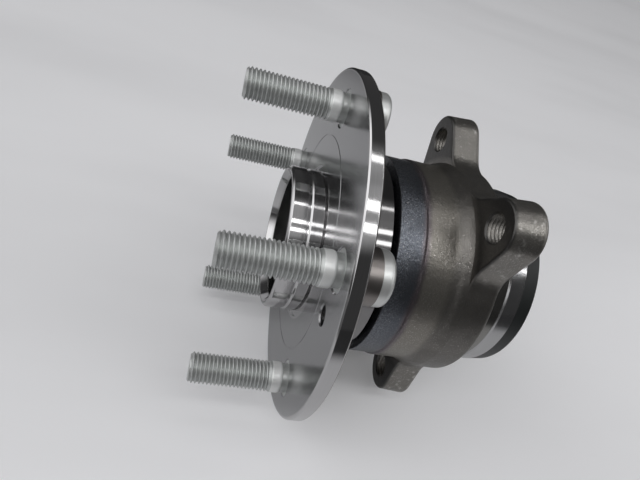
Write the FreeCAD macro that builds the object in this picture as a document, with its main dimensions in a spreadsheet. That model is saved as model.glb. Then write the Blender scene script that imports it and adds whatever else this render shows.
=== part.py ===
import FreeCAD, Part
import math
import os
import Sketcher

# A driven wheel hub bearing of the third generation, in millimetres.
# The spin axis is Y and +Y points inboard, away from the wheel. The origin is the centre of
# the face that the brake disc and wheel bolt against. Angles are measured about Y from +Z
# towards +X. Radii are distances from the spin axis.

document = FreeCAD.newDocument("WheelHubBearing")
sheet = document.addObject("Spreadsheet::Sheet", "Sizes")

SIZES = {
    "flange": {
        "flange_beyond_studs": 14.75,
        "flange_rim": 5.2,
        "flange_edge": 0.6,
        "face_groove_clearance": 4.0,
        "face_groove_width": 0.8,
        "face_groove_depth": 0.4,
        "disc_screw_clearance": 3.5,
        "disc_screw_angle": 69.3,
        "disc_screw_hole": 3.4,
    },
    "pilot nose": {
        "nose_radius": 30.0,
        "nose_length": 13.4,
        "nose_edge": 0.9,
        "nose_mouth": 28.2,
        "nose_mouth_depth": 3.2,
        "nose_recess": 26.5,
        "nut_seat": 5.0,
        "nose_groove": 6.0,
        "nose_groove_width": 2.0,
        "nose_groove_depth": 0.6,
        "nose_relief": 32.4,
        "nose_relief_depth": 0.7,
    },
    "wheel studs": {
        "stud_circle_radius": 57.15,
        "stud_count": 5,
        "stud_angle": 51.0,
        "stud_length": 38.0,
        "stud_radius": 5.95,
        "stud_tip": 4.9,
        "stud_thread_end": 9.0,
        "stud_collar": 6.1,
        "stud_collar_end": 2.4,
        "stud_neck": 5.7,
        "stud_neck_end": 0.5,
        "stud_knurl": 7.15,
        "stud_head": 9.4,
        "stud_head_height": 4.6,
        "stud_head_crown": 1.3,
        "stud_pad": 9.6,
        "stud_pad_top": 11.4,
        "stud_hole_edge": 0.5,
    },
    "axle bore": {
        "bore_radius": 13.2,
        "bore_edge": 1.2,
        "spline_root": 14.7,
        "spline_pitch": 14.0,
        "spline_count": 28,
        "spline_slope": 30.0,
        "spline_overcut": 0.4,
    },
    "hub body": {
        "hub_shoulder": 40.3,
        "hub_shoulder_edge": 0.8,
        "hub_back_fillet": 3.0,
        "seal_land": 29.0,
        "seal_land_end": 29.2,
        "seal_land_fillet": 2.0,
        "seal_land_step": 1.1,
        "inner_ring_seat": 19.6,
        "inner_ring_front": 51.7,
        "inner_ring_back": 84.0,
        "inner_ring_edge": 0.8,
        "formed_end": 88.0,
        "formed_radius": 24.2,
        "formed_round": 2.2,
        "formed_mouth": 16.0,
    },
    "ball rows": {
        "ball_diameter": 12.7,
        "ball_count": 13,
        "pitch_radius": 30.0,
        "outboard_row": 38.0,
        "row_spacing": 29.0,
        "race_clearance": 0.05,
        "shoulder_angle": 50.0,
        "cage_inner": 27.5,
        "cage_outer": 32.5,
        "cage_back": 7.4,
        "cage_front": 2.2,
        "cage_horn": 1.4,
        "pocket_clearance": 0.15,
    },
    "outer ring": {
        "ring_front": 24.3,
        "ring_face_gap": 0.9,
        "ring_edge": 0.7,
        "front_band": 42.6,
        "front_band_end": 34.4,
        "barrel_radius": 43.2,
        "barrel_end": 45.8,
        "web_flare_overlap": 0.6,
        "web_radius": 45.6,
        "ear_face": 52.7,
        "ear_thickness": 13.3,
        "spigot_relief": 38.9,
        "spigot_start": 74.0,
        "spigot_radius": 39.5,
        "spigot_end": 79.9,
        "cover_seat": 38.0,
        "ring_back": 83.6,
        "seal_bore": 36.6,
        "seal_bore_depth": 6.4,
        "rear_bore_depth": 8.2,
        "seal_bore_edge": 0.6,
    },
    "mounting ears": {
        "ear_circle_radius": 56.5,
        "ear_tip": 10.8,
        "ear_flare": 17.0,
        "ear_root": 39.0,
        "ear_draft": 4.5,
        "ear_root_fillet": 13.0,
        "ear_edge": 1.0,
        "ear_back_edge": 2.4,
        "ear_hole": 5.19,
        "ear_hole_edge": 0.6,
        "upper_ear_angle": 27.0,
        "lower_ear_angle": 134.0,
    },
    "seals and rear cover": {
        "case_wall": 0.9,
        "outboard_case_start": 25.2,
        "outboard_case_end": 29.9,
        "outboard_case_inner": 32.0,
        "lip_gap": 0.3,
        "lip_wall": 1.0,
        "lip_edge": 0.5,
        "lip_body": 1.6,
        "face_lip_root": 33.0,
        "face_lip_tip": 34.6,
        "inboard_case_start": 76.4,
        "inboard_case_end": 81.0,
        "inboard_case_inner": 30.6,
        "slinger_start": 77.4,
        "slinger_end": 82.6,
        "slinger_radius": 35.2,
        "encoder_thickness": 1.0,
        "encoder_inner": 28.0,
        "cover_end": 85.9,
        "cover_taper": 0.7,
        "cover_wall": 1.3,
        "cover_opening": 36.0,
    },
}


class Size:
    """A number from the sheet together with the expression that binds it."""

    def __init__(self, value, text):
        self.value = value
        self.text = text

    @staticmethod
    def of(other):
        return other if isinstance(other, Size) else Size(float(other), repr(float(other)))

    def joined(self, other, sign, value):
        return Size(value, f"({self.text} {sign} {other.text})")

    def __add__(self, other):
        other = Size.of(other)
        return self.joined(other, "+", self.value + other.value)

    def __sub__(self, other):
        other = Size.of(other)
        return self.joined(other, "-", self.value - other.value)

    def __mul__(self, other):
        other = Size.of(other)
        return self.joined(other, "*", self.value * other.value)

    def __truediv__(self, other):
        other = Size.of(other)
        return self.joined(other, "/", self.value / other.value)

    def __neg__(self):
        return Size(-self.value, f"(0 - {self.text})")


def sine(angle):
    return Size(math.sin(math.radians(angle.value)), f"sin({angle.text})")


def cosine(angle):
    return Size(math.cos(math.radians(angle.value)), f"cos({angle.text})")


def tangent(angle):
    return Size(math.tan(math.radians(angle.value)), f"tan({angle.text})")


class Sheet:
    """Gives each aliased cell of the sheet as a Size, by its name."""

    def __getattr__(self, name):
        return Size(float(sheet.get(name)), f"Sizes.{name}")


def fill_sheet():
    row = 1
    for group, sizes in SIZES.items():
        sheet.set(f"A{row}", group)
        row += 1
        for name, value in sizes.items():
            sheet.set(f"A{row}", name.replace("_", " "))
            sheet.set(f"B{row}", str(value))
            sheet.setAlias(f"B{row}", name)
            row += 1
    document.recompute()


fill_sheet()
size = Sheet()
zero = Size(0.0, "0")
half_turn = Size(180.0, "180")
full_turn = Size(360.0, "360")

ball_radius = size.ball_diameter / 2
race_radius = ball_radius + size.race_clearance
inboard_row = size.outboard_row + size.row_spacing
groove_bottom_inner = size.pitch_radius - race_radius
groove_bottom_outer = size.pitch_radius + race_radius
inner_shoulder = size.pitch_radius - race_radius * cosine(size.shoulder_angle)
outer_shoulder = size.pitch_radius + race_radius * cosine(size.shoulder_angle)
groove_reach = race_radius * sine(size.shoulder_angle)
flange_radius = size.stud_circle_radius + size.flange_beyond_studs
stud_hole_reach = size.stud_knurl + size.stud_hole_edge
face_groove_radius = size.stud_circle_radius - stud_hole_reach - size.face_groove_clearance
face_groove_outer = face_groove_radius + size.face_groove_width / 2
disc_screw_reach = size.disc_screw_hole + size.stud_hole_edge
disc_screw_radius = face_groove_outer + size.disc_screw_clearance + disc_screw_reach
ear_back = size.ear_face + size.ear_thickness
shoulder_end = size.ring_front - size.ring_face_gap


def new_body(label):
    body = document.addObject("PartDesign::Body", label)
    body.Label = label
    return body


def origin_feature(body, role):
    return [item for item in body.Origin.OriginFeatures if item.Role == role][0]


def new_sketch(body, name, plane):
    sketch = body.newObject("Sketcher::SketchObject", name)
    sketch.AttachmentSupport = [(origin_feature(body, plane), "")]
    sketch.MapMode = "FlatFace"
    return sketch


def bind(sketch, kind, places, target):
    """Adds one dimension to a sketch and ties it to the sheet."""
    index = sketch.addConstraint(Sketcher.Constraint(kind, *places, target.value))
    sketch.setExpression(f"Constraints[{index}]", target.text)


def draw_loop(sketch, corners):
    """Draws a closed loop. A corner is (x, y) or (x, y, radius, centre x, centre y), where the
    last three values make the side that leaves the corner an arc."""
    count = len(corners)
    for index, (x, y, *arc) in enumerate(corners):
        following = corners[(index + 1) % count]
        start = FreeCAD.Vector(x.value, y.value, 0)
        end = FreeCAD.Vector(following[0].value, following[1].value, 0)
        if not arc:
            sketch.addGeometry(Part.LineSegment(start, end), False)
            continue
        radius, centre_x, centre_y = arc
        centre = FreeCAD.Vector(centre_x.value, centre_y.value, 0)
        middle = (start + end) / 2 - centre
        middle.normalize()
        sketch.addGeometry(Part.Arc(start, centre + middle * radius.value, end), False)
    ends = []
    for index, (x, y, *arc) in enumerate(corners):
        wanted = FreeCAD.Vector(x.value, y.value, 0)
        first, last = sketch.getPoint(index, 1), sketch.getPoint(index, 2)
        forward = first.distanceToPoint(wanted) < last.distanceToPoint(wanted)
        ends.append((1, 2) if forward else (2, 1))
    for index, (x, y, *arc) in enumerate(corners):
        following = (index + 1) % count
        sketch.addConstraint(Sketcher.Constraint(
            "Coincident", index, ends[index][1], following, ends[following][0]))
        for kind, coordinate in (("DistanceX", x), ("DistanceY", y)):
            if coordinate.text == "0":
                axis = -2 if kind == "DistanceX" else -1
                sketch.addConstraint(Sketcher.Constraint("PointOnObject", index, ends[index][0], axis))
            else:
                bind(sketch, kind, (-1, 1, index, ends[index][0]), coordinate)
        if arc:
            bind(sketch, "Radius", (index,), arc[0])


def revolve(body, name, corners):
    """Turns a loop of (radius, distance along the axis) corners about the spin axis."""
    sketch = new_sketch(body, f"{name}_profile", "XY_Plane")
    draw_loop(sketch, corners)
    feature = body.newObject("PartDesign::Revolution", name)
    feature.Profile = sketch
    feature.ReferenceAxis = (sketch, ["V_Axis"])
    feature.Angle = 360
    document.recompute()


def turned_body(label, corners):
    body = new_body(label)
    revolve(body, f"{label}_turned", corners)
    return body


def draw_circle(sketch, centre_x, centre_y, radius):
    centre = FreeCAD.Vector(centre_x.value, centre_y.value, 0)
    index = sketch.addGeometry(Part.Circle(centre, FreeCAD.Vector(0, 0, 1), radius.value), False)
    bind(sketch, "DistanceX", (-1, 1, index, 3), centre_x)
    bind(sketch, "DistanceY", (-1, 1, index, 3), centre_y)
    bind(sketch, "Radius", (index,), radius)


def polar(radius, angle):
    return radius * sine(angle), radius * cosine(angle)


def cut_through(body, name, sketch):
    """Cuts a profile on the wheel face right through the body, both ways."""
    pocket = body.newObject("PartDesign::Pocket", name)
    pocket.Profile = sketch
    pocket.Type = "ThroughAll"
    pocket.Midplane = True
    before = body.Shape.Volume
    document.recompute()
    if body.Shape.Volume >= before:
        raise RuntimeError(f"{name} cuts nothing")
    return pocket


def pad_inboard(body, name, sketch, length):
    """Pads a profile towards +Y by a bound length."""
    pad = body.newObject("PartDesign::Pad", name)
    pad.Profile = sketch
    pad.Length = length.value
    pad.setExpression("Length", length.text)
    pad.Reversed = True
    before = body.Shape.Volume
    document.recompute()
    if body.Shape.Volume <= before:
        raise RuntimeError(f"{name} adds nothing")
    return pad


def repeat(body, name, features, count):
    """Repeats features evenly about the spin axis."""
    pattern = body.newObject("PartDesign::PolarPattern", name)
    pattern.Originals = features
    pattern.Axis = (origin_feature(body, "Y_Axis"), [""])
    pattern.Angle = 360
    pattern.Occurrences = int(count.value)
    pattern.setExpression("Occurrences", count.text)
    body.Tip = pattern
    document.recompute()


def edges_where(shape, test):
    return [f"Edge{index + 1}" for index, edge in enumerate(shape.Edges) if test(edge)]


def dress(body, kind, name, size_name, amount, test):
    """Adds a fillet or chamfer to the edges of the tip that pass the test."""
    base = body.Tip
    names = edges_where(base.Shape, test)
    if not names:
        raise RuntimeError(f"{name} finds no edges")
    feature = body.newObject(kind, name)
    feature.Base = (base, names)
    setattr(feature, size_name, amount.value)
    feature.setExpression(size_name, amount.text)
    document.recompute()
    if "Invalid" in feature.State:
        raise RuntimeError(f"{name} can't be made")


def is_same(found, wanted):
    """Whether a length found on a solid is the wanted one, to the precision of the modeller."""
    return math.isclose(found, wanted.value, abs_tol=FreeCAD.Base.Precision.approximation())


def is_circle(edge, radius, height):
    curve = edge.Curve
    if not isinstance(curve, Part.Circle):
        return False
    return is_same(curve.Radius, radius) and is_same(curve.Center.y, height)


def hub_profile():
    """The hub from the mouth of its pilot nose, over the flange, to the formed end and back."""
    half_groove = size.nose_groove_width / 2
    nose_groove_bottom = size.nose_radius - size.nose_groove_depth
    face_groove_inner = face_groove_radius - size.face_groove_width / 2
    land_corner = size.seal_land + size.seal_land_fillet
    land_back = size.seal_land_end - size.hub_shoulder_edge
    back_corner = size.hub_shoulder + size.hub_back_fillet
    back_fillet_top = size.flange_rim + size.hub_back_fillet
    formed_corner = size.formed_radius - size.formed_round
    return [
        (size.nose_mouth, -size.nose_length),
        (size.nose_radius - size.nose_edge, -size.nose_length),
        (size.nose_radius, size.nose_edge - size.nose_length),
        (size.nose_radius, -size.nose_groove - half_groove),
        (nose_groove_bottom, size.nose_groove_depth - size.nose_groove - half_groove),
        (nose_groove_bottom, half_groove - size.nose_groove - size.nose_groove_depth),
        (size.nose_radius, half_groove - size.nose_groove),
        (size.nose_radius, size.nose_relief_depth),
        (size.nose_relief, size.nose_relief_depth),
        (size.nose_relief, zero),
        (face_groove_inner, zero),
        (face_groove_inner, size.face_groove_depth),
        (face_groove_outer, size.face_groove_depth),
        (face_groove_outer, zero),
        (flange_radius - size.flange_edge, zero),
        (flange_radius, size.flange_edge),
        (flange_radius, size.flange_rim - size.flange_edge),
        (flange_radius - size.flange_edge, size.flange_rim),
        (back_corner, size.flange_rim, size.hub_back_fillet, back_corner, back_fillet_top),
        (size.hub_shoulder, back_fillet_top),
        (size.hub_shoulder, shoulder_end - size.hub_shoulder_edge),
        (size.hub_shoulder - size.hub_shoulder_edge, shoulder_end),
        (land_corner, shoulder_end, size.seal_land_fillet, land_corner,
         shoulder_end + size.seal_land_fillet),
        (size.seal_land, shoulder_end + size.seal_land_fillet),
        (size.seal_land, land_back),
        (inner_shoulder, land_back + size.seal_land_step),
        (inner_shoulder, size.outboard_row - groove_reach, race_radius,
         size.pitch_radius, size.outboard_row),
        (groove_bottom_inner, size.outboard_row),
        (groove_bottom_inner, size.inner_ring_front),
        (size.inner_ring_seat, size.inner_ring_front),
        (size.inner_ring_seat, size.inner_ring_back),
        (size.formed_radius, size.inner_ring_back),
        (size.formed_radius, size.formed_end - size.formed_round, size.formed_round,
         formed_corner, size.formed_end - size.formed_round),
        (formed_corner, size.formed_end),
        (size.formed_mouth, size.formed_end),
        (size.bore_radius, size.inner_ring_back - size.bore_edge),
        (size.bore_radius, size.nut_seat + size.bore_edge),
        (size.bore_radius + size.bore_edge + size.bore_edge, size.nut_seat),
        (size.nose_recess, size.nut_seat),
        (size.nose_recess, size.nose_mouth_depth - size.nose_length),
    ]


def make_hub():
    """The flanged spindle: pilot nose, stud flange, outboard race, splined bore, formed end."""
    body = new_body("hub_spindle")
    revolve(body, "hub_turned", hub_profile())

    stud_x, stud_z = polar(size.stud_circle_radius, size.stud_angle)
    pad_sketch = new_sketch(body, "stud_pad_outline", "XZ_Plane")
    draw_circle(pad_sketch, stud_x, stud_z, size.stud_pad)
    pad = pad_inboard(body, "stud_pad", pad_sketch, size.stud_pad_top)
    repeat(body, "stud_pads", [pad], size.stud_count)

    hole_sketch = new_sketch(body, "stud_hole_outline", "XZ_Plane")
    draw_circle(hole_sketch, stud_x, stud_z, size.stud_knurl)
    hole = cut_through(body, "stud_hole", hole_sketch)
    repeat(body, "stud_holes", [hole], size.stud_count)

    screw_sketch = new_sketch(body, "disc_screw_outline", "XZ_Plane")
    screw_x, screw_z = polar(disc_screw_radius, size.disc_screw_angle)
    draw_circle(screw_sketch, screw_x, screw_z, size.disc_screw_hole)
    cut_through(body, "disc_screw_hole", screw_sketch)

    dress(body, "PartDesign::Chamfer", "hole_edges", "Size", size.stud_hole_edge,
          lambda edge: is_circle(edge, size.stud_knurl, zero)
          or is_circle(edge, size.disc_screw_hole, zero))

    make_splines(body)


def make_splines(body):
    """The internal splines: straight-sided grooves at the slope of the pressure angle."""
    half_pitch_space = size.spline_pitch * Size(math.pi / 2, "(pi / 2)") / size.spline_count
    slope = tangent(size.spline_slope)
    inner_radius = size.bore_radius - size.spline_overcut
    inner_half = half_pitch_space + slope * (size.spline_pitch - inner_radius)
    root_half = half_pitch_space - slope * (size.spline_root - size.spline_pitch)
    sketch = new_sketch(body, "spline_space", "XZ_Plane")
    draw_loop(sketch, [
        (-inner_half, inner_radius),
        (inner_half, inner_radius),
        (root_half, size.spline_root),
        (-root_half, size.spline_root),
    ])
    groove = cut_through(body, "spline_groove", sketch)
    repeat(body, "splines", [groove], size.spline_count)


def make_inner_ring():
    """The pressed inner ring that carries the inboard row and the seal slinger."""
    turned_body("inner_ring", [
        (size.inner_ring_seat + size.inner_ring_edge, size.inner_ring_front),
        (groove_bottom_inner, size.inner_ring_front),
        (groove_bottom_inner, inboard_row, race_radius, size.pitch_radius, inboard_row),
        (inner_shoulder, inboard_row + groove_reach),
        (inner_shoulder, size.inner_ring_back - size.inner_ring_edge),
        (inner_shoulder - size.inner_ring_edge, size.inner_ring_back),
        (size.inner_ring_seat, size.inner_ring_back),
        (size.inner_ring_seat, size.inner_ring_front + size.inner_ring_edge),
    ])


def outer_ring_profile():
    """The fixed ring with both outer races, the barrel, the web of the ears and the spigot."""
    bore_step = size.seal_bore - groove_bottom_outer
    outboard_bore_end = size.ring_front + size.seal_bore_depth
    inboard_bore_end = size.ring_back - size.rear_bore_depth
    return [
        (size.seal_bore + size.seal_bore_edge, size.ring_front),
        (size.front_band - size.ring_edge, size.ring_front),
        (size.front_band, size.ring_front + size.ring_edge),
        (size.front_band, size.front_band_end),
        (size.barrel_radius, size.front_band_end + size.barrel_radius - size.front_band),
        (size.barrel_radius, size.ear_face),
        (size.web_radius, size.ear_face),
        (size.web_radius, ear_back),
        (size.spigot_relief, ear_back),
        (size.spigot_relief, size.spigot_start - size.spigot_radius + size.spigot_relief),
        (size.spigot_radius, size.spigot_start),
        (size.spigot_radius, size.spigot_end),
        (size.cover_seat, size.spigot_end),
        (size.cover_seat, size.ring_back),
        (size.seal_bore + size.seal_bore_edge, size.ring_back),
        (size.seal_bore, size.ring_back - size.seal_bore_edge),
        (size.seal_bore, inboard_bore_end),
        (groove_bottom_outer, inboard_bore_end - bore_step),
        (groove_bottom_outer, inboard_row, race_radius, size.pitch_radius, inboard_row),
        (outer_shoulder, inboard_row - groove_reach),
        (outer_shoulder, size.outboard_row + groove_reach, race_radius,
         size.pitch_radius, size.outboard_row),
        (groove_bottom_outer, size.outboard_row),
        (groove_bottom_outer, outboard_bore_end + bore_step),
        (size.seal_bore, outboard_bore_end),
        (size.seal_bore, size.ring_front + size.seal_bore_edge),
    ]


def web_flare_profile():
    """The swell from the barrel to the web in front of the ears: two equal arcs that meet halfway
    and leave both cylinders without an edge."""
    flare_end = size.ear_face + size.ear_edge + size.web_flare_overlap
    rise = size.web_radius - size.barrel_radius
    run = flare_end - size.barrel_end
    bend = (rise * rise + run * run) / rise / 4
    return [
        (size.barrel_radius, size.barrel_end, bend, size.barrel_radius + bend, size.barrel_end),
        (size.barrel_radius + rise / 2, size.barrel_end + run / 2, bend, size.web_radius - bend, flare_end),
        (size.web_radius, flare_end),
        (size.barrel_radius, flare_end),
    ]


def make_ear(body, name, angle):
    """One threaded mounting ear: a round tip on flared flanks that run into the web."""
    sketch = new_sketch(body, f"{name}_outline", "XZ_Plane")
    turn = FreeCAD.Rotation(FreeCAD.Vector(0, 0, 1), -angle.value)
    sketch.AttachmentOffset = FreeCAD.Placement(FreeCAD.Vector(0, 0, -size.ear_face.value), turn)
    sketch.setExpression("AttachmentOffset.Rotation.Angle", (-angle).text)
    sketch.setExpression("AttachmentOffset.Base.z", (-size.ear_face).text)
    flank_x = size.ear_tip * cosine(size.ear_flare)
    flank_z = size.ear_circle_radius + size.ear_tip * sine(size.ear_flare)
    root_x = flank_x + (flank_z - size.ear_root) * tangent(size.ear_flare)
    draw_loop(sketch, [
        (-root_x, size.ear_root),
        (root_x, size.ear_root),
        (flank_x, flank_z, size.ear_tip, zero, size.ear_circle_radius),
        (-flank_x, flank_z),
    ])
    pad = pad_inboard(body, name, sketch, size.ear_thickness)
    pad.TaperAngle = size.ear_draft.value
    pad.setExpression("TaperAngle", size.ear_draft.text)
    document.recompute()


def is_ear_root(edge):
    """An edge from front to back, where a flank of an ear meets the web."""
    if len(edge.Vertexes) != 2:
        return False
    first, last = (vertex.Point for vertex in edge.Vertexes)
    radii = [math.hypot(point.x, point.z) for point in (first, last)]
    return (is_same(abs(first.y - last.y), size.ear_thickness)
            and all(is_same(radius, size.web_radius) for radius in radii))


def is_ear_rim(edge, height):
    """An edge of the outline of the ears in the plane at this height."""
    points = [edge.valueAt(edge.FirstParameter + share * (edge.LastParameter - edge.FirstParameter))
              for share in (0.0, 0.5, 1.0)]
    level = all(is_same(point.y, height) for point in points)
    reach = math.hypot(points[1].x, points[1].z)
    return level and (is_same(reach, size.web_radius) or reach > size.web_radius.value)


def make_outer_ring():
    """The fixed ring: two outer races, four threaded ears and the spigot of the knuckle bore."""
    body = new_body("outer_ring")
    revolve(body, "outer_ring_turned", outer_ring_profile())
    angles = {
        "upper_ear": size.upper_ear_angle,
        "upper_ear_mirrored": half_turn - size.upper_ear_angle,
        "lower_ear": half_turn + size.lower_ear_angle,
        "lower_ear_mirrored": full_turn - size.lower_ear_angle,
    }
    for name, angle in angles.items():
        make_ear(body, name, angle)
    dress(body, "PartDesign::Fillet", "ear_roots", "Radius", size.ear_root_fillet, is_ear_root)
    dress(body, "PartDesign::Fillet", "ear_front_rims", "Radius", size.ear_edge,
          lambda edge: is_ear_rim(edge, size.ear_face))
    dress(body, "PartDesign::Fillet", "ear_back_rims", "Radius", size.ear_back_edge,
          lambda edge: is_ear_rim(edge, ear_back))
    revolve(body, "web_flare", web_flare_profile())
    sketch = new_sketch(body, "ear_hole_outlines", "XZ_Plane")
    for angle in angles.values():
        draw_circle(sketch, *polar(size.ear_circle_radius, angle), size.ear_hole)
    cut_through(body, "ear_holes", sketch)
    dress(body, "PartDesign::Chamfer", "ear_hole_edges", "Size", size.ear_hole_edge,
          lambda edge: is_circle(edge, size.ear_hole, size.ear_face)
          or is_circle(edge, size.ear_hole, ear_back))


def make_stud(number):
    """A pressed wheel stud, turned about its own axis and placed on the stud circle."""
    tip_edge = size.stud_radius - size.stud_tip
    collar_step = size.stud_collar - size.stud_radius
    head_end = size.stud_pad_top + size.stud_head_height
    crown = size.stud_head_crown
    body = turned_body(f"wheel_stud_{number + 1}", [
        (zero, -size.stud_length),
        (size.stud_tip, -size.stud_length),
        (size.stud_radius, tip_edge - size.stud_length),
        (size.stud_radius, -size.stud_thread_end),
        (size.stud_collar, collar_step - size.stud_thread_end),
        (size.stud_collar, -size.stud_collar_end),
        (size.stud_neck, size.stud_collar - size.stud_neck - size.stud_collar_end),
        (size.stud_neck, size.stud_neck_end),
        (size.stud_knurl, size.stud_neck_end),
        (size.stud_knurl, size.stud_pad_top),
        (size.stud_head, size.stud_pad_top),
        (size.stud_head, head_end - crown, crown, size.stud_head - crown, head_end - crown),
        (size.stud_head - crown, head_end),
        (zero, head_end),
    ])
    step = full_turn / size.stud_count * number
    centre_x, centre_z = polar(size.stud_circle_radius, size.stud_angle + step)
    body.setExpression("Placement.Base.x", centre_x.text)
    body.setExpression("Placement.Base.z", centre_z.text)


def make_balls(side, row):
    """One row of separate balls on the pitch circle."""
    for number in range(int(size.ball_count.value)):
        ball = document.addObject("Part::Sphere", f"{side}_ball_{number + 1:02d}")
        ball.Label = ball.Name
        ball.Radius = ball_radius.value
        ball.setExpression("Radius", ball_radius.text)
        angle = full_turn / size.ball_count * number
        centre_x, centre_z = polar(size.pitch_radius, angle)
        ball.setExpression("Placement.Base.x", centre_x.text)
        ball.setExpression("Placement.Base.y", row.text)
        ball.setExpression("Placement.Base.z", centre_z.text)


def make_cage(side, row, way):
    """A moulded crown cage. Its closed back lies away from the middle of the bearing, on the
    side that way gives, and its horns reach past the middle of the balls."""
    body = new_body(f"{side}_cage")
    back = row + size.cage_back * way
    front = row - size.cage_front * way
    horn = size.cage_outer - size.cage_horn
    neck = row + size.cage_front * way
    revolve(body, f"{side}_cage_band", [
        (size.cage_inner, back),
        (size.cage_outer, back),
        (size.cage_outer, neck),
        (horn, front),
        (size.cage_inner, front),
    ])
    pocket = body.newObject("PartDesign::SubtractiveSphere", f"{side}_cage_pocket")
    pocket_radius = ball_radius + size.pocket_clearance
    pocket.Radius = pocket_radius.value
    pocket.setExpression("Radius", pocket_radius.text)
    pocket.AttachmentSupport = [(origin_feature(body, "XY_Plane"), "")]
    pocket.MapMode = "FlatFace"
    pocket.AttachmentOffset = FreeCAD.Placement(
        FreeCAD.Vector(0, row.value, size.pitch_radius.value), FreeCAD.Rotation())
    pocket.setExpression("AttachmentOffset.Base.y", row.text)
    pocket.setExpression("AttachmentOffset.Base.z", size.pitch_radius.text)
    document.recompute()
    repeat(body, f"{side}_cage_pockets", [pocket], size.ball_count)


def make_outboard_seal():
    """The lip seal behind the stud flange: a pressed steel case and its rubber lips."""
    web_front = size.outboard_case_end - size.case_wall
    land_lip = size.seal_land + size.lip_gap
    face_lip = shoulder_end + size.lip_gap + size.lip_gap
    turned_body("outboard_seal_case", [
        (size.seal_bore - size.case_wall, size.outboard_case_start),
        (size.seal_bore, size.outboard_case_start),
        (size.seal_bore, size.outboard_case_end),
        (size.outboard_case_inner, size.outboard_case_end),
        (size.outboard_case_inner, web_front),
        (size.seal_bore - size.case_wall, web_front),
    ])
    turned_body("outboard_seal_lip", [
        (size.outboard_case_inner, size.outboard_case_end),
        (size.outboard_case_inner - size.lip_body, size.outboard_case_end),
        (land_lip, web_front - size.lip_wall),
        (land_lip, web_front - size.lip_wall - size.lip_edge),
        (size.outboard_case_inner, web_front - size.lip_wall),
        (size.face_lip_root, web_front - size.lip_wall),
        (size.face_lip_tip, face_lip),
        (size.face_lip_tip + size.lip_edge, face_lip),
        (size.face_lip_root + size.lip_wall, web_front),
        (size.outboard_case_inner, web_front),
    ])


def make_inboard_seal():
    """The cassette seal at the back: case and lips in the outer ring, slinger and magnetic
    encoder on the inner ring."""
    web_back = size.inboard_case_start + size.case_wall
    sleeve = inner_shoulder + size.case_wall
    land_lip = sleeve + size.lip_gap
    flange_front = size.slinger_end - size.case_wall
    turned_body("inboard_seal_case", [
        (size.inboard_case_inner, size.inboard_case_start),
        (size.seal_bore, size.inboard_case_start),
        (size.seal_bore, size.inboard_case_end),
        (size.seal_bore - size.case_wall, size.inboard_case_end),
        (size.seal_bore - size.case_wall, web_back),
        (size.inboard_case_inner, web_back),
    ])
    turned_body("inboard_seal_lip", [
        (size.inboard_case_inner, size.inboard_case_start),
        (size.inboard_case_inner, web_back),
        (size.face_lip_root, web_back),
        (size.face_lip_tip - size.lip_wall, flange_front - size.lip_gap),
        (size.face_lip_tip - size.lip_wall - size.lip_edge, flange_front - size.lip_gap),
        (size.inboard_case_inner, web_back + size.lip_wall),
        (land_lip, web_back + size.lip_wall + size.lip_edge),
        (land_lip, web_back + size.lip_wall),
        (size.inboard_case_inner - size.lip_body, size.inboard_case_start),
    ])
    turned_body("seal_slinger", [
        (inner_shoulder, size.slinger_start),
        (sleeve, size.slinger_start),
        (sleeve, flange_front),
        (size.slinger_radius, flange_front),
        (size.slinger_radius, size.slinger_end),
        (inner_shoulder, size.slinger_end),
    ])
    turned_body("encoder_ring", [
        (size.encoder_inner, size.slinger_end),
        (size.slinger_radius, size.slinger_end),
        (size.slinger_radius, size.slinger_end + size.encoder_thickness),
        (size.encoder_inner, size.slinger_end + size.encoder_thickness),
    ])


def make_rear_cover():
    """The black ring pressed over the back of the outer ring, open in the middle."""
    inner_face = size.cover_end - size.cover_wall
    turned_body("rear_cover_ring", [
        (size.cover_seat, size.spigot_end),
        (size.spigot_radius, size.spigot_end),
        (size.spigot_radius - size.cover_taper, size.cover_end),
        (size.cover_opening, size.cover_end),
        (size.cover_opening, inner_face),
        (size.cover_seat, inner_face),
    ])


def write_parts():
    """Checks the whole document, then writes each sub-part to its own file."""
    document.recompute()
    for item in document.Objects:
        if "Invalid" in item.State or "Error" in item.State:
            raise RuntimeError(f"{item.Name} failed to build")
    sub_parts = [item for item in document.Objects
                 if item.TypeId in ("PartDesign::Body", "Part::Sphere")]
    for part in sub_parts:
        if part.Shape.isNull() or not part.Shape.isValid():
            raise RuntimeError(f"{part.Label} has no valid shape")
    os.makedirs("parts", exist_ok=True)
    for part in sub_parts:
        part.Shape.exportStep(f"parts/{part.Label}.step")
        print(part.Label, round(part.Shape.Volume, 1))


outboard, inboard = -1.0, 1.0
make_hub()
make_inner_ring()
make_outer_ring()
for stud in range(int(size.stud_count.value)):
    make_stud(stud)
make_balls("outboard", size.outboard_row)
make_balls("inboard", inboard_row)
make_cage("outboard", size.outboard_row, outboard)
make_cage("inboard", inboard_row, inboard)
make_outboard_seal()
make_inboard_seal()
make_rear_cover()
write_parts()
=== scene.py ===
import math

import bmesh
import bpy
from mathutils import Matrix, Vector


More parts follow.
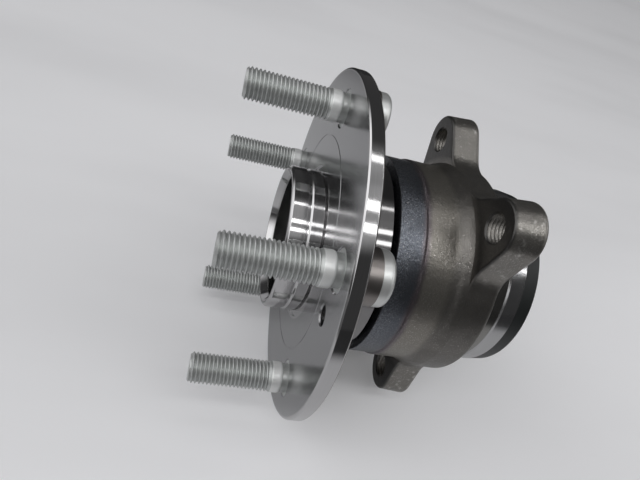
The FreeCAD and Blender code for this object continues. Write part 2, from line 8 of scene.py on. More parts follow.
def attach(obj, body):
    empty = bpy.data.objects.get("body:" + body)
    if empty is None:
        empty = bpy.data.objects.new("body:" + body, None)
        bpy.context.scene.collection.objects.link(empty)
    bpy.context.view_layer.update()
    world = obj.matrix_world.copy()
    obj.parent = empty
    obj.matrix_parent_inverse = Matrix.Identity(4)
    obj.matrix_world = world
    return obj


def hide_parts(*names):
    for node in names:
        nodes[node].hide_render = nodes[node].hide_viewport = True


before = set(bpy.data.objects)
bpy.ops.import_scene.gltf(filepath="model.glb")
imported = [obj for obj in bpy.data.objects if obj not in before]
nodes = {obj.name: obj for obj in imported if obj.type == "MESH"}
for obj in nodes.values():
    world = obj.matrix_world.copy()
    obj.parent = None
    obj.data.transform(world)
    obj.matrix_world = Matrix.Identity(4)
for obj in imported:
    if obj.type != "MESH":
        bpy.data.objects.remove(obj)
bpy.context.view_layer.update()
scene = bpy.context.scene
mm = 0.001


# The camera was solved from the stud tips, the flange rim and the nose of the photographed part.
cameraSizes = {
    "place": (0.135485, -0.04147, 0.141684),
    "right": (0.026225, 0.95412, 0.298272),
    "up": (-0.736253, -0.18339, 0.651382),
    "focalPixels": 468.7,
    "picturePixels": 640,
    "sensor": 36.0,
    "clipStart": 0.01,
}


def makeCamera():
    right = Vector(cameraSizes["right"]).normalized()
    up = Vector(cameraSizes["up"]).normalized()
    back = right.cross(up)
    turn = Matrix((right, up, back)).transposed()
    data = bpy.data.cameras.new("partCamera")
    data.sensor_width = cameraSizes["sensor"]
    data.lens = cameraSizes["sensor"] * cameraSizes["focalPixels"] / cameraSizes["picturePixels"]
    data.clip_start = cameraSizes["clipStart"]
    camera = bpy.data.objects.new("partCamera", data)
    camera.matrix_world = Matrix.Translation(cameraSizes["place"]) @ turn.to_4x4()
    scene.collection.objects.link(camera)
    scene.camera = camera


makeCamera()
print("camera placed")


# A socket of a node tree. Arithmetic on it adds Math nodes.
class Wire:
    def __init__(self, maker, socket):
        self.maker = maker
        self.socket = socket

    def __add__(self, other):
        return self.maker.maths("ADD", self, other)

    def __radd__(self, other):
        return self.maker.maths("ADD", other, self)

    def __sub__(self, other):
        return self.maker.maths("SUBTRACT", self, other)

    def __rsub__(self, other):
        return self.maker.maths("SUBTRACT", other, self)

    def __mul__(self, other):
        return self.maker.maths("MULTIPLY", self, other)

    def __rmul__(self, other):
        return self.maker.maths("MULTIPLY", other, self)

    def __truediv__(self, other):
        return self.maker.maths("DIVIDE", self, other)

    def __pow__(self, other):
        return self.maker.maths("POWER", self, other)

    def __abs__(self):
        return self.maker.maths("ABSOLUTE", self)

    def out(self, name):
        return Wire(self.maker, self.socket.node.outputs[name])


# What shader trees and Geometry Nodes trees have in common.
class Tree:
    # Adds a node: its settings first, then its inputs by place in the list or by name.
    def node(self, kind, settings=None, values=()):
        made = self.tree.nodes.new(kind)
        for name, value in (settings or {}).items():
            setattr(made, name, value)
        pairs = values.items() if isinstance(values, dict) else enumerate(values)
        for key, value in pairs:
            socket = made.inputs[key]
            if isinstance(value, Wire):
                self.tree.links.new(value.socket, socket)
            else:
                socket.default_value = value
        shown = [socket for socket in made.outputs if socket.enabled]
        return Wire(self, shown[0])

    def maths(self, operation, *values):
        return self.node("ShaderNodeMath", {"operation": operation}, values)

    def smallest(self, first, second):
        return self.maths("MINIMUM", first, second)

    def largest(self, first, second):
        return self.maths("MAXIMUM", first, second)

    def clamped(self, value):
        return self.largest(self.smallest(value, 1.0), 0.0)

    # Rises smoothly from 0 to 1 as the value goes from low to high.
    def step(self, value, low, high):
        return self.node("ShaderNodeMapRange", {"interpolation_type": "SMOOTHSTEP"}, {
            "Value": value, "From Min": low, "From Max": high})


# One procedural material. Lengths inside it are in millimetres.
class Finish(Tree):
    def __init__(self, name, **uniform):
        self.material = bpy.data.materials.new(name)
        self.material.use_nodes = True
        self.tree = self.material.node_tree
        self.shader = self.tree.nodes["Principled BSDF"]
        for key, value in uniform.items():
            self.shader.inputs[key.replace("_", " ")].default_value = value
        place = self.node("ShaderNodeTexCoord").out("Object")
        self.place = self.node("ShaderNodeVectorMath", {"operation": "SCALE"},
                               {"Vector": place, "Scale": 1 / mm})
        parts = self.node("ShaderNodeSeparateXYZ", None, (self.place,))
        self.x, self.y, self.z = parts.out("X"), parts.out("Y"), parts.out("Z")
        self.radius = (self.x * self.x + self.z * self.z) ** 0.5

    def noise(self, scale, detail=2.0, roughness=0.5, place=None):
        return self.node("ShaderNodeTexNoise", None, {
            "Vector": place or self.place, "Scale": scale, "Detail": detail,
            "Roughness": roughness})

    # Noise that only changes with a number, such as the radius of a turned face.
    def lineNoise(self, value, scale, detail=2.0):
        return self.node("ShaderNodeTexNoise", {"noise_dimensions": "1D"}, {
            "W": value, "Scale": scale, "Detail": detail})

    # A mask for the stretch between borders. Each border is the (from, to) of a soft change:
    # front and back are places along the axis, inner and outer are radii.
    def zone(self, front=None, back=None, inner=None, outer=None):
        mask = 1.0
        for value, border in ((self.y, front), (self.radius, inner)):
            if border:
                mask = mask * self.step(value, *border)
        for value, border in ((self.y, back), (self.radius, outer)):
            if border:
                mask = mask * (1.0 - self.step(value, *border))
        return mask

    def mixed(self, share, first, second):
        made = self.tree.nodes.new("ShaderNodeMix")
        made.data_type = "RGBA"
        sockets = [made.inputs["Factor"], made.inputs[6], made.inputs[7]]
        for socket, value in zip(sockets, (share, first, second)):
            if isinstance(value, Wire):
                self.tree.links.new(value.socket, socket)
            elif isinstance(value, tuple):
                socket.default_value = (*value, 1)
            else:
                socket.default_value = value
        return Wire(self, made.outputs[2])

    def bump(self, height, distance):
        return self.node("ShaderNodeBump", None, {
            "Strength": 1.0, "Distance": distance * mm, "Height": height})

    def feed(self, **links):
        for key, wire in links.items():
            self.tree.links.new(wire.socket, self.shader.inputs[key.replace("_", " ")])
        return self.material


def shaded(tone, share):
    return tuple(value * share for value in tone)


# Ground bearing steel.
def turnedSteel(name, tone, rough, lines):
    finish = Finish(name, Metallic=1.0, Specular_IOR_Level=0.5)
    fine = finish.lineNoise(finish.radius + finish.y * 1.7, 9.0, 3.0)
    blotch = finish.noise(0.09, 3.0)
    smear = finish.noise(0.02, 4.0, 0.6)
    colour = finish.mixed(finish.clamped(blotch * 0.7 + fine * 0.3), shaded(tone, 0.86), tone)
    roughness = rough + (fine - 0.5) * 0.06 + (blotch - 0.5) * 0.06 + (smear - 0.5) * 0.05
    return finish.feed(Base_Color=colour, Roughness=roughness, Normal=finish.bump(fine, lines))


# The faces of the hub that differ from its bright ones: where each lies, its tone and how much
# of it shows, and what it adds to the roughness.
hubFaces = {
    "studFace": {"zone": {"back": (4.0, 4.4), "inner": (33.0, 33.6), "outer": (70.4, 71.2)},
                 "tone": (0.37, 0.37, 0.375), "share": 1.0, "rough": 0.11},
    # Painted shade: the back of the flange is darkened where the flange and the fixed ring shade it.
    "backFaceShade": {"zone": {"front": (4.6, 5.0), "back": (12.0, 13.0), "inner": (36.0, 38.0)},
                 "tone": (0.22, 0.195, 0.18), "share": 0.8, "rough": 0.28},
    # Painted shade: the shoulder is darkened where the flange and the fixed ring shade it.
    "shoulder": {"zone": {"front": (12.0, 13.0), "inner": (38.6, 39.2)},
                 "tone": (0.21, 0.205, 0.205), "share": 0.85, "rough": 0.0},
    "recess": {"zone": {"front": (-12.0, -9.0), "outer": (26.7, 27.4)},
               "tone": (0.27, 0.275, 0.265), "share": 0.7, "rough": 0.10},
}


# Bare turned steel. Its outer faces are bright and the stud face is duller and finely grooved. Behind
# the flange, its back face is darkened brown and the shoulder dark grey, both as painted shade, and
# the bore inside the nose is darker.
def hubSteel():
    finish = Finish("turnedHubSteel", Metallic=1.0)
    fine = finish.lineNoise(finish.radius + finish.y * 1.7, 9.0, 3.0)
    broad = finish.lineNoise(finish.radius + finish.y * 1.7, 1.3, 2.0)
    blotch = finish.noise(0.09, 3.0)
    tone = finish.mixed(finish.clamped(blotch * 0.6 + broad * 0.5),
                        (0.50, 0.495, 0.495), (0.60, 0.595, 0.60))
    roughness = 0.085
    for face in hubFaces.values():
        mask = finish.zone(**face["zone"])
        tone = finish.mixed(mask * face["share"], tone, face["tone"])
        roughness = roughness + mask * face["rough"]
    roughness = roughness + (fine - 0.5) * 0.05 + (blotch - 0.5) * 0.05
    return finish.feed(Base_Color=tone, Roughness=roughness,
                       Normal=finish.bump(fine + broad * 0.5, 0.0016))


# Grey zinc flake paint, matt and a little uneven. A painted highlight makes the collar palest, and
# the head is pale too.
def studZinc():
    finish = Finish("studZinc")
    grain = finish.noise(3.2, 4.0, 0.6)
    cloud = finish.noise(0.35, 2.0)
    colour = finish.mixed(finish.clamped(cloud * 0.5 + grain * 0.5),
                          (0.46, 0.475, 0.465), (0.67, 0.685, 0.675))
    collar = finish.zone(front=(-6.2, -5.9), back=(-2.4, -2.0))
    head = finish.zone(front=(11.0, 11.4))
    # Painted highlight: the collar's near-white tone stands in for the bright spot the lamps put on
    # it.
    colour = finish.mixed(finish.largest(collar, head * 0.6), colour, (0.90, 0.91, 0.90))
    roughness = 0.39 + (grain - 0.5) * 0.25 + collar * 0.05
    metallic = 0.75 + (grain - 0.5) * 0.2 - collar * 0.3
    return finish.feed(Base_Color=colour, Metallic=metallic, Roughness=roughness,
                       Normal=finish.bump(grain * (1.0 - collar * 0.7), 0.02))


# Borders along the axis and in radius on the fixed ring, each the (from, to) of a soft change.
forgedBorders = {
    "quenchColour": (32.6, 35.6),
    "quenchEnd": (34.8, 37.4),
    "strawStart": (34.8, 37.0),
    "strawEnd": (45.0, 49.0),
    "earRoot": (46.0, 49.0),
    "earFront": (53.0, 54.4),
    "frontSkin": (27.0, 33.0),
    "relief": (65.9, 66.1),
    "machined": (73.2, 73.6),
}
forgedTones = {
    "scale": ((0.13, 0.124, 0.116), (0.21, 0.20, 0.185)),
    "straw": (0.30, 0.282, 0.25),
    "quench": ((0.122, 0.132, 0.152), (0.175, 0.150, 0.160)),
    # Painted shade: the ears' front faces are made nearly black.
    "earFront": (0.085, 0.083, 0.080),
    # Painted light: the ears' sides are lightened a little.
    "earSidePaintedLight": (0.38, 0.365, 0.335),
    "worn": (0.62, 0.60, 0.57),
    "pebble": (0.30, 0.315, 0.345),
    # Painted glint: the pale tone of the specks.
    "paintedGlint": (0.70, 0.68, 0.65),
    "relief": (0.30, 0.295, 0.28),
    "machined": (0.50, 0.50, 0.505),
}


# Hot forged steel: a blue-black quenched band at the front, then brown scale with smoother specks
# whose pale tone is a painted glint, and bare turned metal at the spigot. The ears' front faces
# carry painted shade and their sides a little painted light.
def forgedSteel():
    finish = Finish("forgedSteel")
    borders, tones = forgedBorders, forgedTones
    grain = finish.noise(1.5, 5.0, 0.6)
    cloud = finish.noise(0.11, 3.0, 0.5)
    edge = finish.y + (cloud - 0.5) * 2.4
    scale = finish.mixed(finish.clamped(cloud * 1.5 - 0.25), *tones["scale"])
    straw = finish.step(edge, *borders["strawStart"])
    straw = straw * (1.0 - finish.step(edge, *borders["strawEnd"]))
    scale = finish.mixed(straw * 0.75, scale, tones["straw"])
    tint = finish.mixed(finish.step(edge, *borders["quenchColour"]), *tones["quench"])
    front = 1.0 - finish.step(edge, *borders["quenchEnd"])
    tone = finish.mixed(front, scale, tint)
    ears = finish.zone(inner=borders["earRoot"])
    sides = ears * finish.zone(front=borders["earFront"])
    worn = finish.step(finish.noise(0.34, 3.0, 0.6), 0.56, 0.72) * sides
    # Painted shade on the ears' front faces.
    tone = finish.mixed(ears - sides, tone, tones["earFront"])
    # Painted light on the ears' sides.
    tone = finish.mixed(sides * 0.3, tone, tones["earSidePaintedLight"])
    tone = finish.mixed(worn * 0.6, tone, tones["worn"])
    nearEdge = finish.zone(back=borders["frontSkin"])
    pebble = finish.step(finish.noise(1.6, 2.0, 0.6), 0.50, 0.60) * nearEdge
    tone = finish.mixed(pebble * 0.5, tone, tones["pebble"])
    glint = finish.noise(2.4, 2.0, 0.7) + (straw + ears) * 0.03
    # Painted glints: pale, smoother specks, more on the straw band and ears and few on the ears'
    # front faces.
    paintedGlint = finish.step(glint, 0.63, 0.69) * (1.0 - (ears - sides) * 0.85)
    tone = finish.mixed(paintedGlint * 0.55, tone, tones["paintedGlint"])
    machined = finish.zone(front=borders["machined"])
    relief = finish.zone(front=borders["relief"]) * (1.0 - machined)
    lines = finish.lineNoise(finish.y + finish.radius, 7.0, 3.0)
    tone = finish.mixed(relief, tone, tones["relief"])
    tone = finish.mixed(machined, tone, tones["machined"])
    bright = finish.largest(machined, relief)
    roughness = 0.34 + (grain - 0.5) * 0.2 - front * 0.04 - bright * 0.16 - paintedGlint * 0.10
    roughness = roughness + (lines - 0.5) * 0.06
    skin = grain * (1.0 + nearEdge * 1.2) + finish.noise(0.5, 2.0) * 1.2
    bump = finish.bump(skin * (1.0 - bright) + lines * bright * 0.1, 0.07)
    return finish.feed(Base_Color=tone, Metallic=0.90 + bright * 0.10, Roughness=roughness,
                       Normal=bump)


def plainFinish(name, dark, light, scale, rough, metal, bumpDepth):
    finish = Finish(name, Metallic=metal)
    grain = finish.noise(scale, 3.0, 0.55)
    return finish.feed(Base_Color=finish.mixed(grain, dark, light),
                       Roughness=rough + (grain - 0.5) * 0.2,
                       Normal=finish.bump(grain, bumpDepth))


finishes = {
    "hub": hubSteel(),
    "stud": studZinc(),
    "forged": forgedSteel(),
    "race": turnedSteel("groundRaceSteel", tone=(0.68, 0.68, 0.69), rough=0.10, lines=0.001),
    "cage": plainFinish("cagePolymer", dark=(0.50, 0.44, 0.32), light=(0.60, 0.54, 0.41),
                        scale=1.2, rough=0.5, metal=0.0, bumpDepth=0.01),
    "case": plainFinish("sealCaseSteel", dark=(0.30, 0.30, 0.31), light=(0.46, 0.46, 0.47),
                        scale=1.5, rough=0.34, metal=1.0, bumpDepth=0.006),
    "lip": plainFinish("sealRubber", dark=(0.014, 0.014, 0.015), light=(0.030, 0.030, 0.031),
                       scale=2.0, rough=0.55, metal=0.0, bumpDepth=0.02),
    "encoder": plainFinish("encoderRubber", dark=(0.022, 0.020, 0.019), light=(0.042, 0.038, 0.036),
                           scale=2.6, rough=0.6, metal=0.0, bumpDepth=0.02),
    "cover": plainFinish("coverBlack", dark=(0.005, 0.0065, 0.0065), light=(0.010, 0.013, 0.013),
                         scale=1.0, rough=0.42, metal=0.0, bumpDepth=0.01),
}
print("finishes made")


# How finely meshes are joined, smoothed and rounded.
meshSizes = {
    "weld": 0.002,
    "sliver": 0.001,
    "threadWeld": 0.003,
    "onAxis": 1e-6,
    "near": 0.01,
    "sharpFrom": 35,
    "weight": 80,
    "cornerReach": 0.45,
    "cornerSteps": 3,
}


def pieceFrom(mesh, name, finish, body, replaced):
    piece = bpy.data.objects.new(name, mesh)
    scene.collection.objects.link(piece)
    mesh.materials.clear()
    mesh.materials.append(finishes[finish])
    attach(piece, body)
    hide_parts(*replaced)


# Evaluates an object's modifiers into a plain mesh and removes the object.
def bakedMesh(thing):
    bpy.context.view_layer.update()
    shown = thing.evaluated_get(bpy.context.evaluated_depsgraph_get())
    mesh = bpy.data.meshes.new_from_object(shown)
    bpy.data.objects.remove(thing)
    return mesh


def objectWith(mesh, name="working"):
    thing = bpy.data.objects.new(name, mesh)
    scene.collection.objects.link(thing)
    return thing


# Smooth shading with flat faces kept flat and steep edges kept sharp.
def softened(mesh):
    for polygon in mesh.polygons:
        polygon.use_smooth = True
    mesh.set_sharp_from_angle(angle=math.radians(meshSizes["sharpFrom"]))
    thing = objectWith(mesh)
    weighted = thing.modifiers.new("weighted", "WEIGHTED_NORMAL")
    weighted.keep_sharp = True
    weighted.weight = meshSizes["weight"]
    return bakedMesh(thing)


def mergedCopy(node):
    mesh = nodes[node].data.copy()
    work = bmesh.new()
    work.from_mesh(mesh)
    bmesh.ops.remove_doubles(work, verts=work.verts, dist=meshSizes["weld"] * mm)
    work.to_mesh(mesh)
    work.free()
    mesh.attributes.remove(mesh.attributes["custom_normal"])
    mesh.update()
    return mesh


# Drops slivers, closes open ends where asked, and turns all faces outwards.
def cleaned(mesh, closeEnds=False):
    work = bmesh.new()
    work.from_mesh(mesh)
    bmesh.ops.dissolve_degenerate(work, edges=work.edges, dist=meshSizes["sliver"] * mm)
    if closeEnds:
        bmesh.ops.holes_fill(work, edges=work.edges, sides=0)
    bmesh.ops.recalc_face_normals(work, faces=work.faces)
    work.to_mesh(mesh)
    work.free()
    return mesh


# Rounds the corners (radius, place, rounding) of a profile that is turned about the spin axis.
def roundedProfile(corners, closed=True):
    points = []
    count, steps = len(corners), meshSizes["cornerSteps"]
    for index, (r, y, rounding) in enumerate(corners):
        here = Vector((r, y))
        atEnd = not closed and index in (0, count - 1)
        if not rounding or atEnd:
            points.append(here)
            continue
        before = Vector(corners[index - 1][:2]) - here
        after = Vector(corners[(index + 1) % count][:2]) - here
        reach = min(rounding, before.length * meshSizes["cornerReach"],
                    after.length * meshSizes["cornerReach"])
        first, last = here + before.normalized() * reach, here + after.normalized() * reach
        for number in range(steps + 1):
            share = number / steps
            points.append(first.lerp(here, share).lerp(here.lerp(last, share), share))
    return points


# Turns a profile of (radius, place along the axis) points. A rule may change a point's radius
# with the angle, which is how the splines are cut.
def turnedMesh(points, segments, closed=True, rule=None):
    work = bmesh.new()
    rings = []
    for point in points:
        if point.x < meshSizes["onAxis"]:
            rings.append([work.verts.new((0, point.y * mm, 0))])
            continue
        ring = []
        for number in range(segments):
            radius = rule(point, number) if rule else point.x
            angle = math.tau * number / segments
            ring.append(work.verts.new((radius * math.sin(angle) * mm, point.y * mm,
                                        radius * math.cos(angle) * mm)))
        rings.append(ring)
    pairs = list(zip(rings, rings[1:] + rings[:1])) if closed else list(zip(rings, rings[1:]))
    for first, second in pairs:
        for number in range(segments):
            following = (number + 1) % segments
            if len(first) == 1:
                corners = (first[0], second[following], second[number])
            elif len(second) == 1:
                corners = (first[number], first[following], second[0])
            else:
                corners = (first[number], first[following], second[following], second[number])
            work.faces.new(corners)
    bmesh.ops.recalc_face_normals(work, faces=work.faces)
    mesh = bpy.data.meshes.new("turned")
    work.to_mesh(mesh)
    work.free()
    return mesh


# Cuts or joins other meshes into one.
def carved(mesh, tools, operation):
    thing = objectWith(mesh)
    helpers = [objectWith(tool, "tool") for tool in tools]
    for helper in helpers:
        modifier = thing.modifiers.new("carve", "BOOLEAN")
        modifier.operation = operation
        modifier.solver = "MANIFOLD"
        modifier.object = helper
    result = bakedMesh(thing)
    for helper in helpers:
        bpy.data.objects.remove(helper)
    return result


def onCircle(radius, degrees):
    angle = math.radians(degrees)
    return Vector((radius * math.sin(angle) * mm, 0, radius * math.cos(angle) * mm))


# The hub takes the places of its stud holes from here too.
studSizes = {
    "count": 5,
    "circle": 57.15,
    "angle": 51.0,
    "seed": 4,
    "segments": 64,
    "rowsPerPitch": 8,
    "start": -38.0,
    "end": -6.2,
    "pitch": 1.5,
    "crest": 5.95,
    "root": 5.08,
    "tip": 4.9,
    "runout": 0.5,
    "body": [
        (5.95, -6.2, 0), (6.1, -5.9, 0.2), (6.1, -2.7, 0.6), (5.7, -2.0, 0.2), (5.7, 0.5, 0),
        (7.15, 0.5, 0), (7.15, 11.4, 0), (9.4, 11.4, 0.15), (9.4, 14.7, 0.9), (8.1, 16.0, 0.5),
        (0.0, 16.0, 0),
    ],
}
hubSizes = {
    "segments": 336,
    "spline": {"count": 28, "grooveSegments": 4, "bore": 13.2, "root": 14.7,
               "front": 6.2, "back": 82.8},
    "front": [
        (28.2, -13.4, 0.12), (29.1, -13.4, 0.15), (30.0, -12.5, 0.3), (30.0, -7.0, 0.12),
        (29.4, -6.4, 0.1), (29.4, -5.6, 0.1), (30.0, -5.0, 0.12), (30.0, 0.7, 0.1),
        (32.4, 0.7, 0.1), (32.4, 0.0, 0.12), (45.15, 0.0, 0.06),
        (45.3, 0.15, 0), (45.6, 0.15, 0), (45.75, 0.0, 0.06), (71.3, 0.0, 0.15),
        (71.9, 0.6, 0.2), (71.9, 4.6, 0.2), (71.3, 5.2, 0.15), (43.3, 5.2, 0),
        (41.18, 6.08, 0), (40.3, 8.2, 0), (40.3, 22.6, 0.1), (39.5, 23.4, 0.1),
        (31.0, 23.4, 0), (29.59, 23.99, 0), (29.0, 25.4, 0), (29.0, 28.4, 0.2),
        (25.89, 29.5, 0),
    ],
    "race": {"circle": 30.0, "row": 38.0, "radius": 6.4, "shoulder": 50.0, "steps": 8},
    "back": [
        (23.6, 51.7, 0), (19.6, 51.7, 0), (19.6, 84.0, 0), (24.2, 84.0, 0.2),
        (24.2, 85.8, 0), (23.56, 87.36, 0), (22.0, 88.0, 0), (16.0, 88.0, 0.5),
        (13.2, 82.8, 0), (13.2, 6.2, 0), (15.6, 5.0, 0.1), (26.5, 5.0, 0.6), (26.5, -10.2, 0.2),
    ],
    "pad": {"radius": 9.6, "base": 4.0, "top": 11.4, "segments": 64},
    "holeEdge": 0.5,
    "overrun": 1.0,
    "studHole": {"radius": 7.15, "end": 13.0, "segments": 64},
    "screwHole": {"radius": 3.4, "end": 7.0, "segments": 48},
    "screwPlace": {"radius": 53.3, "degrees": 69.3},
}


def shiftedDisc(corners, segments, place):
    mesh = turnedMesh([Vector(corner) for corner in corners], segments, False)
    mesh.transform(Matrix.Translation(place))
    return mesh


def padAt(place, radius, base, top, segments):
    return shiftedDisc([(0, base), (radius, base), (radius, top), (0, top)], segments, place)


# A cutter for a hole that opens on the stud face with an edge at 45 degrees.
def drillAt(place, radius, end, segments):
    edge, over = hubSizes["holeEdge"], hubSizes["overrun"]
    mouth = radius + edge + over
    return shiftedDisc([(0, -over), (mouth, -over), (radius, edge), (radius, end), (0, end)],
                       segments, place)


def splineRule(point, number):
    sizes, near = hubSizes["spline"], meshSizes["near"]
    inBore = sizes["front"] - near < point.y < sizes["back"] + near
    if not inBore or point.x > sizes["bore"] + near:
        return point.x
    phase = number % (hubSizes["segments"] // sizes["count"])
    return sizes["root"] if phase < sizes["grooveSegments"] else point.x


# The arc of a race, from its shoulder to the bottom of its groove.
def raceArc(sizes):
    arc = []
    for number in range(sizes["steps"] + 1):
        angle = math.radians(sizes["shoulder"] * (1 - number / sizes["steps"]))
        arc.append((sizes["circle"] - sizes["radius"] * math.cos(angle),
                    sizes["row"] - sizes["radius"] * math.sin(angle), 0))
    return arc


def makeHub():
    sizes = hubSizes
    corners = sizes["front"] + raceArc(sizes["race"]) + sizes["back"]
    mesh = turnedMesh(roundedProfile(corners), sizes["segments"], True, splineRule)
    places = [onCircle(studSizes["circle"], studSizes["angle"] + 360 / studSizes["count"] * number)
              for number in range(studSizes["count"])]
    mesh = carved(mesh, [padAt(place, **sizes["pad"]) for place in places], "UNION")
    drills = [drillAt(place, **sizes["studHole"]) for place in places]
    drills.append(drillAt(onCircle(**sizes["screwPlace"]), **sizes["screwHole"]))
    mesh = carved(mesh, drills, "DIFFERENCE")
    pieceFrom(softened(mesh), "hub", "hub", "hub", ["hub_spindle"])


makeHub()
print("hub made")


# A Geometry Nodes tree with named inputs, run as a modifier.
class Rule(Tree):
    def __init__(self, name, inputs):
        self.tree = bpy.data.node_groups.new(name, "GeometryNodeTree")
        self.tree.is_modifier = True
        self.identifiers = {}
        self.inputSocket("Geometry", "NodeSocketGeometry")
        self.tree.interface.new_socket("Geometry", in_out="OUTPUT", socket_type="NodeSocketGeometry")
        self.entry = self.tree.nodes.new("NodeGroupInput")
        for inputName, kind in inputs.items():
            self.inputSocket(inputName, kind)

    def inputSocket(self, name, kind):
        made = self.tree.interface.new_socket(name, in_out="INPUT", socket_type=kind)
        self.identifiers[name] = made.identifier

    def given(self, name):
        return Wire(self, self.entry.outputs[name])

    # The point at a radius, a place along the spin axis and an angle about it.
    def pointAt(self, radius, along, angle):
        sine, cosine = self.maths("SINE", angle), self.maths("COSINE", angle)
        return self.node("ShaderNodeCombineXYZ", None, (radius * sine, along, radius * cosine))

    def finishWith(self, geometry):
        result = self.tree.nodes.new("NodeGroupOutput")
        self.tree.links.new(geometry.socket, result.inputs[0])

    def runOn(self, thing, values):
        modifier = thing.modifiers.new(self.tree.name, "NODES")
        modifier.node_group = self.tree
        for name, value in values.items():
            modifier[self.identifiers[name]] = value


# The form of a thread in one pitch: how steep its flanks are, how flat its crest and root are, and
# a nudge that keeps the rows on a seam between pitches on one side of it.
threadForm = {"flank": 3.0, "flat": 0.25, "nudge": 0.0001}


# A right-hand thread along Y: each row of a grid follows the helix, so its crests stay crisp.
def makeThreadRule():
    lengths = ("Start", "Pitch", "Turns", "Reach", "Crest", "Root", "Tip", "Runout")
    rule = Rule("threadedShank", {**{name: "NodeSocketFloat" for name in lengths},
                                  "Columns": "NodeSocketInt", "Rows": "NodeSocketInt"})
    grid = rule.node("GeometryNodeMeshGrid", None, {
        "Size X": 1.0, "Size Y": 1.0, "Vertices X": rule.given("Columns"),
        "Vertices Y": rule.given("Rows")})
    place = rule.node("ShaderNodeSeparateXYZ", None, (rule.node("GeometryNodeInputPosition"),))
    across, along = place.out("X") + 0.5, place.out("Y") + 0.5
    turns = rule.given("Turns")
    run = along * rule.given("Reach")
    turned = rule.largest(rule.smallest(run + across - 1.0, turns), 0.0)
    phase = rule.maths("FRACT", run + threadForm["nudge"])
    crestShare = rule.clamped(abs(phase - 0.5) * threadForm["flank"] - threadForm["flat"])
    crest, root = rule.given("Crest"), rule.given("Root")
    radius = root + (crest - root) * crestShare
    fromTip = turned * rule.given("Pitch")
    toEnd = (turns - turned) * rule.given("Pitch")
    radius = rule.smallest(radius, rule.given("Tip") + fromTip)
    radius = rule.largest(radius, crest - toEnd * rule.given("Runout"))
    point = rule.pointAt(radius, rule.given("Start") + fromTip, across * math.tau)
    shank = rule.node("GeometryNodeSetPosition", None, {"Geometry": grid, "Position": point})
    joined = rule.tree.nodes.new("GeometryNodeJoinGeometry")
    rule.tree.links.new(shank.socket, joined.inputs[0])
    rule.tree.links.new(rule.given("Geometry").socket, joined.inputs[0])
    merged = rule.node("GeometryNodeMergeByDistance", None, {
        "Geometry": Wire(rule, joined.outputs[0]), "Distance": meshSizes["threadWeld"] * mm})
    rule.finishWith(merged)
    return rule


# Repeats a mesh evenly about the spin axis, each copy turned on its own axis by a fixed seed.
def makeRingRule():
    rule = Rule("repeatedOnCircle", {
        "Count": "NodeSocketInt", "Circle": "NodeSocketFloat", "First Angle": "NodeSocketFloat",
        "Along": "NodeSocketFloat", "Seed": "NodeSocketInt", "Finish": "NodeSocketMaterial"})
    points = rule.node("GeometryNodePoints", None, {"Count": rule.given("Count")})
    index = rule.node("GeometryNodeInputIndex")
    angle = rule.given("First Angle") + index * math.tau / rule.given("Count")
    point = rule.pointAt(rule.given("Circle"), rule.given("Along"), angle)
    points = rule.node("GeometryNodeSetPosition", None, {"Geometry": points, "Position": point})
    spin = rule.node("FunctionNodeRandomValue", {"data_type": "FLOAT"}, {
        "ID": index, "Seed": rule.given("Seed")})
    values = [socket for socket in spin.socket.node.outputs if socket.enabled]
    turn = rule.node("ShaderNodeCombineXYZ", None, (0.0, Wire(rule, values[0]) * math.tau, 0.0))
    copies = rule.node("GeometryNodeInstanceOnPoints", None, {
        "Points": points, "Instance": rule.given("Geometry"), "Rotation": turn})
    real = rule.node("GeometryNodeRealizeInstances", None, {"Geometry": copies})
    rule.finishWith(rule.node("GeometryNodeSetMaterial", None, {
        "Geometry": real, "Material": rule.given("Finish")}))
    return rule


threadRule = makeThreadRule()
ringRule = makeRingRule()


def threadValues(sizes):
    turns = (sizes["end"] - sizes["start"]) / sizes["pitch"]
    # Whole steps, so both ends of the grid meet.
    steps = math.ceil((turns + 1) * sizes["rowsPerPitch"])
    lengths = {name.capitalize(): sizes[name] * mm
               for name in ("start", "pitch", "crest", "root", "tip")}
    return {**lengths, "Turns": turns, "Reach": steps / sizes["rowsPerPitch"],
            "Runout": sizes["runout"], "Columns": sizes["segments"] + 1, "Rows": steps + 1}


def repeated(mesh, sizes, firstAngle, along, finish):
    thing = objectWith(mesh)
    ringRule.runOn(thing, {"Count": sizes["count"], "Circle": sizes["circle"] * mm,
                           "First Angle": firstAngle, "Along": along * mm, "Seed": sizes["seed"],
                           "Finish": finishes[finish]})
    return bakedMesh(thing)


def makeStuds():
    sizes = studSizes
    tipFace = [Vector((0, sizes["start"])), Vector((sizes["tip"], sizes["start"]))]
    mesh = turnedMesh(tipFace, sizes["segments"], False)
    rest = turnedMesh(roundedProfile(sizes["body"], False), sizes["segments"], False)
    work = bmesh.new()
    work.from_mesh(mesh)
    work.from_mesh(rest)
    work.to_mesh(mesh)
    work.free()
    thing = objectWith(mesh)
    threadRule.runOn(thing, threadValues(sizes))
    mesh = softened(cleaned(bakedMesh(thing)))
    mesh = repeated(mesh, sizes, math.radians(sizes["angle"]), 0.0, "stud")
    names = [f"wheel_stud_{number + 1}" for number in range(sizes["count"])]
    pieceFrom(mesh, "wheelStuds", "stud", "hub", names)


makeStuds()
print("studs made")

earSizes = {
    "circle": 56.5,
    "angles": (27.0, 153.0, 226.0, 314.0),
    "start": 51.6,
    "end": 68.0,
    "pitch": 1.5,
    "crest": 5.95,
    "root": 5.24,
    "tip": 5.1,
    "runout": 0.5,
    "segments": 48,
    "rowsPerPitch": 6,
}
ringEdgeSizes = {"radius": 42.6, "place": 24.3, "edge": 0.7, "shownEdge": 0.2,
                 "nearRadius": 0.02, "nearPlace": 0.01}


